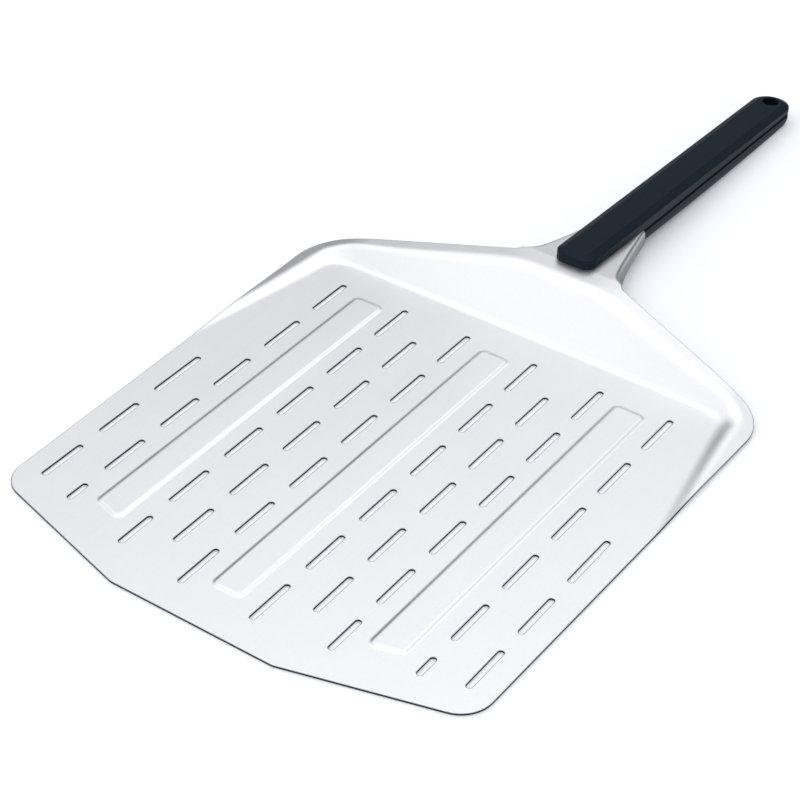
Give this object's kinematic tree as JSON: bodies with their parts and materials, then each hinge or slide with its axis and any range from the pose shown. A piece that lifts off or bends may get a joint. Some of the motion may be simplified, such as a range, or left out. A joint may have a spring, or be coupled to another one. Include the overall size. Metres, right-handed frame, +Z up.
{
  "type": "pizza peel",
  "caption": "Perforated aluminium pizza peel: ribbed pressed blade with a ramped back and folded neck, and a two-part moulded handle with a hanging hole.",
  "frame": {"origin": "on the resting plane, under the middle of the peel's bounding box", "axes": "+X across the blade to the right, +Y from the blade's front edge towards the end of the handle, +Z up"},
  "size_m": [0.4062, 0.82, 0.0371],
  "materials": {
    "blade_metal": "satin anodised",
    "grip_plastic": "fine moulded texture, dark blue-black",
    "screw_steel": "zinc plated",
    "insert_brass": "turned"
  },
  "bodies": {
    "root": {"blade": "blade_metal", "upper_grip_shell": "grip_plastic", "lower_grip_shell": "grip_plastic", "grip_screw_1": "screw_steel", "grip_screw_2": "screw_steel", "grip_screw_3": "screw_steel", "grip_screw_4": "screw_steel", "threaded_insert_1": "insert_brass", "threaded_insert_2": "insert_brass", "threaded_insert_3": "insert_brass", "threaded_insert_4": "insert_brass"}
  },
  "joints": []
}
